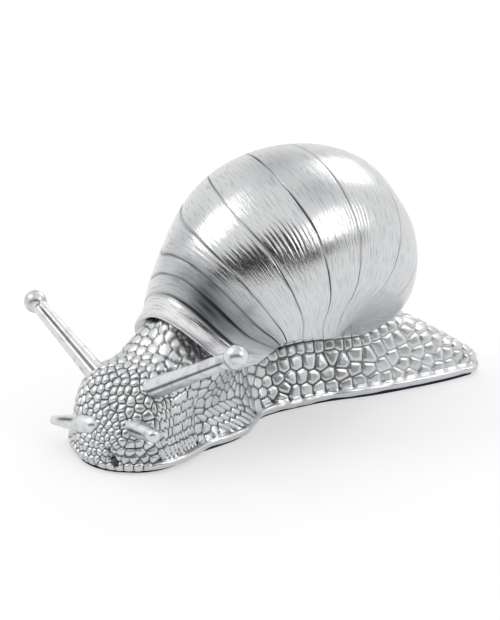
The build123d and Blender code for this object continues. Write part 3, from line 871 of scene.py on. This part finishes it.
def turned_rod(name, base, tip, lengths, radii, crease, node):
    """Rod of round sections along base to tip, with a shallow crease along its front left side.

    The crease has its turn from that side, width in radians, depth, and the lengths where it starts and ends.
    """
    crease_turn, crease_width, crease_depth, crease_from, crease_to = crease
    start = at_body(*base)
    end = at_body(*tip)
    axis = (end - start) / np.linalg.norm(end - start)
    upward = np.array((0.0, 0.0, 1.0)) - axis * axis[2]
    upward /= np.linalg.norm(upward)
    across = np.cross(axis, upward)
    turns = np.linspace(0, 2 * math.pi, 64, endpoint=False)
    spoke = np.cos(turns)[:, None] * upward + np.sin(turns)[:, None] * across
    facing = math.atan2(toward_camera @ Vector(across), toward_camera @ Vector(upward)) + crease_turn
    away = np.angle(np.exp(1j * (turns - facing)))
    dip = np.exp(-(away / crease_width) ** 2)
    fade = 4
    stretch = smoothstep(crease_from, crease_from + fade, lengths)
    stretch = stretch * (1 - smoothstep(crease_to - fade, crease_to, lengths))
    cut = dip[:, None] * stretch[None, :]
    reach = np.maximum(radii[None, :] - crease_depth * cut, 0.0)
    reach = np.concatenate((np.zeros((len(turns), 1)), reach), 1)
    lengths = np.concatenate((lengths[:1], lengths))
    cut = np.concatenate((cut[:, :1], cut), 1)
    points = start + axis * lengths[None, :, None] + spoke[:, None, :] * reach[..., None]
    rod = grid_object(name, points, True)
    point_value(rod, "relief", 1 - 0.9 * cut.reshape(-1))
    close_skin(rod, False)
    rod.data.materials.append(stalk_metal)
    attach(rod, "root")
    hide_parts(node)


left_stalk_tip = (149.5, 50.5, 49.9)
right_stalk_tip = (149.5, -50.5, 41.7)
ball_radius = 4.2
neck_radius = 2.7
root_depth = 6.0
left_stalk_base = (152.0, 9.5, 25.6)
right_stalk_base = (153.5, -9.5, 22.8)
for name, base, tip, node in (
    ("left_stalk", left_stalk_base, left_stalk_tip, "left_eye_stalk"),
    ("right_stalk", right_stalk_base, right_stalk_tip, "right_eye_stalk"),
):
    length = np.linalg.norm(at_body(*tip) - at_body(*base))
    neck = length - math.sqrt(ball_radius ** 2 - neck_radius ** 2)
    rod_lengths = np.linspace(-root_depth, neck, 60)
    rod_places = np.array((-root_depth, 3.0, 10.0, 22.0, neck))
    rod_radii = through(rod_places, np.array((4.1, 3.9, 3.6, 3.2, neck_radius)), rod_lengths)
    swing = np.linspace(math.pi - math.asin(neck_radius / ball_radius), 0, 30)[1:]
    ball_lengths = length + ball_radius * np.cos(swing)
    ball_radii = ball_radius * np.sin(swing)
    turned_rod(
        name, base, tip, np.concatenate((rod_lengths, ball_lengths)), np.concatenate((rod_radii, ball_radii)),
        (0.1, 0.16, 0.5, 1.0, neck + 1), node,
    )


# Feelers: short blunt cones of the same polished metal, pressed into sockets low on the face. The left one
# rises a little and the right one points down.
left_feeler_base = (159.5, 5.1, 14.9)
right_feeler_base = (164.6, -4.0, 12.6)
left_feeler_tip = (164.0, 27.0, 17.8)
right_feeler_tip = (165.3, -25.5, 8.1)
feeler_root = 3.5
for name, base, tip, node, radii in (
    ("left_cone", left_feeler_base, left_feeler_tip, "left_feeler", (2.4, 3.5, 3.6, 3.2, 2.4)),
    ("right_cone", right_feeler_base, right_feeler_tip, "right_feeler", (2.0, 3.4, 3.7, 2.8, 1.6)),
):
    length = np.linalg.norm(at_body(*tip) - at_body(*base))
    blunt = 0.8 * radii[-1]
    cone_lengths = np.linspace(-feeler_root, length - blunt, 40)
    cone_radii = through(
        np.array((-feeler_root, -1.0, 2.0, 11.0, length - blunt)), np.array(radii), cone_lengths
    )
    swing = np.linspace(math.pi / 2, 0, 14)[1:]
    turned_rod(
        name, base, tip, np.concatenate((cone_lengths, length - blunt + blunt * np.cos(swing))),
        np.concatenate((cone_radii, radii[-1] * np.sin(swing))), (0.4, 0.25, 0.3, 6.0, length - 3), node,
    )


# Felt pad: a flat piece of dark felt glued under the foot, cut a little inside its edge. It shows as a
# thin dark line and lets the ornament stand on a table without marks.
#
# Navy wool felt: quite matt, with lighter fibres about 0.7 mm long
felt, tree_nodes, shader = new_material("navy_wool_felt")
place = add_node(tree_nodes, "ShaderNodeTexCoord").outputs["Object"]
fibres = add_node(tree_nodes, "ShaderNodeTexNoise", (("Vector", place), ("Scale", 1500.0), ("Detail", 4.0)))
felt_ramp = add_node(tree_nodes, "ShaderNodeValToRGB", (("Fac", fibres.outputs["Fac"]),))
set_ramp(felt_ramp, ((0.3, linear("0b0e1c")), (0.7, linear("232a48"))))
tree_nodes.links.new(felt_ramp.outputs["Color"], shader.inputs["Base Color"])
shader.inputs["Roughness"].default_value = 0.95
bump = add_node(tree_nodes, "ShaderNodeBump", (
    ("Height", fibres.outputs["Fac"]), ("Strength", 0.6), ("Distance", 0.3 * MM),
))
tree_nodes.links.new(bump.outputs["Normal"], shader.inputs["Normal"])


# Base board and fixings: the board closes the hollow casting above the felt, and a screw with its washer
# and a pin hold the shell to the saddle. None of them shows on the finished ornament.
#
# Brown hardboard: pressed fibres, matt, with specks about 1.2 mm across
board, tree_nodes, shader = new_material("brown_hardboard")
place = add_node(tree_nodes, "ShaderNodeTexCoord").outputs["Object"]
specks = add_node(tree_nodes, "ShaderNodeTexNoise", (("Vector", place), ("Scale", 800.0), ("Detail", 5.0)))
board_ramp = add_node(tree_nodes, "ShaderNodeValToRGB", (("Fac", specks.outputs["Fac"]),))
set_ramp(board_ramp, ((0.3, linear("4a3a2a")), (0.7, linear("7a6248"))))
tree_nodes.links.new(board_ramp.outputs["Color"], shader.inputs["Base Color"])
shader.inputs["Roughness"].default_value = 0.8

# Zinc plated steel: dull silver with soft spangles about 1.7 mm across
zinc, tree_nodes, shader = new_material("zinc_plated_steel")
place = add_node(tree_nodes, "ShaderNodeTexCoord").outputs["Object"]
spangle = add_node(tree_nodes, "ShaderNodeTexNoise", (("Vector", place), ("Scale", 600.0), ("Detail", 2.0)))
zinc_ramp = add_node(tree_nodes, "ShaderNodeValToRGB", (("Fac", spangle.outputs["Fac"]),))
set_ramp(zinc_ramp, ((0.3, linear("8f9296")), (0.7, linear("b4b7bb"))))
tree_nodes.links.new(zinc_ramp.outputs["Color"], shader.inputs["Base Color"])
shader.inputs["Metallic"].default_value = 1.0
shader.inputs["Roughness"].default_value = 0.4
for node, material in (
    ("felt_pad", felt), ("base_board", board), ("shell_screw", zinc), ("screw_washer", zinc),
    ("locating_pin", zinc),
):
    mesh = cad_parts[node].data
    mesh.materials.clear()
    mesh.materials.append(material)


# Studio: a white paper sweep for a floor, three soft windows round the snail, and a dark room behind the
# photographer that polished metal mirrors as a band.
#
# White sweep: matt paper, half of it lit from within for the rays that see it, so that the shadow stays
# light
bpy.ops.mesh.primitive_plane_add(size=6.0, location=(0, 0, 0))
floor = bpy.context.object
floor.name = "floor"
floor_paint, tree_nodes, shader = new_material("white_sweep")
shader.inputs["Base Color"].default_value = linear("fbfbfc")
shader.inputs["Roughness"].default_value = 0.9
shader.inputs["Specular IOR Level"].default_value = 0.1
rays = add_node(tree_nodes, "ShaderNodeLightPath").outputs
seen = add_node(tree_nodes, "ShaderNodeMath", (
    (0, rays["Is Camera Ray"]), (1, rays["Is Glossy Ray"]),
), operation="MAXIMUM").outputs["Value"]
seen = add_node(tree_nodes, "ShaderNodeMath", (
    (0, seen), (1, rays["Is Transmission Ray"]),
), operation="MAXIMUM").outputs["Value"]
glow_share = add_node(tree_nodes, "ShaderNodeMath", (
    (0, seen), (1, 0.5),
), operation="MULTIPLY").outputs["Value"]
glow = add_node(tree_nodes, "ShaderNodeEmission", (
    ("Color", linear("ffffff")), ("Strength", 1.0),
)).outputs["Emission"]
white_floor = add_node(tree_nodes, "ShaderNodeMixShader", (
    (0, glow_share), (1, shader.outputs["BSDF"]), (2, glow),
)).outputs["Shader"]
tree_nodes.links.new(white_floor, tree_nodes.nodes["Material Output"].inputs["Surface"])
floor.data.materials.append(floor_paint)


def soft_light(name, place, aim, size, power):
    """Square area light pointed at a spot."""
    lamp = bpy.data.lights.new(name, "AREA")
    lamp.size = size
    lamp.energy = power
    holder = bpy.data.objects.new(name, lamp)
    holder.location = place
    holder.rotation_euler = (Vector(place) - Vector(aim)).to_track_quat("Z", "Y").to_euler()
    bpy.context.scene.collection.objects.link(holder)


soft_light("front_right_window", (-0.38, -0.58, 0.76), (0, 0, 0.05), 0.5, 1.7)
soft_light("left_window", (0.72, 0.42, 0.66), (0, 0, 0.05), 0.42, 1.2)
soft_light("back_window", (-0.28, 0.78, 0.62), (0, 0, 0.05), 0.4, 1.0)

# Dark room: a curved wall, told by the rise of its foot and top above the horizon at each direction, in
# degrees
wall_away = 1300.0
wall_known = np.array((-6.0, 2, 10, 21, 37, 48, 68, 90, 105, 122))
wall_foot_rise = np.array((5.0, 6, 9, 13, 19, 21, 21, 17, 15, 14.5))
wall_top_rise = np.array((17.0, 24, 32, 38, 44, 47, 47, 42, 35, 27))
wall_degrees = np.linspace(wall_known[0], wall_known[-1], 41)
wall_turn = np.radians(wall_degrees)
wall_low = wall_away * np.tan(np.radians(through(wall_known, wall_foot_rise, wall_degrees)))
wall_high = wall_away * np.tan(np.radians(through(wall_known, wall_top_rise, wall_degrees)))
wall_foot = np.stack((wall_away * np.sin(wall_turn), -wall_away * np.cos(wall_turn), wall_low), -1)
wall_top = np.stack((wall_away * np.sin(wall_turn), -wall_away * np.cos(wall_turn), wall_high), -1)
dark_room = grid_object("dark_room", np.stack((wall_foot, wall_top), 1), False)
dark_room.visible_camera = False
room_paint, tree_nodes, shader = new_material("dark_room_wall")
shader.inputs["Base Color"].default_value = linear("0a0a0b")
shader.inputs["Roughness"].default_value = 1.0
dark_room.data.materials.append(room_paint)

world = bpy.data.worlds.new("studio")
world.use_nodes = True
bpy.context.scene.world = world
tree_nodes = world.node_tree
background = tree_nodes.nodes["Background"]
background.inputs["Strength"].default_value = 1.0
background.inputs["Color"].default_value = linear("ffffff")
bpy.context.scene.view_settings.view_transform = "Standard"
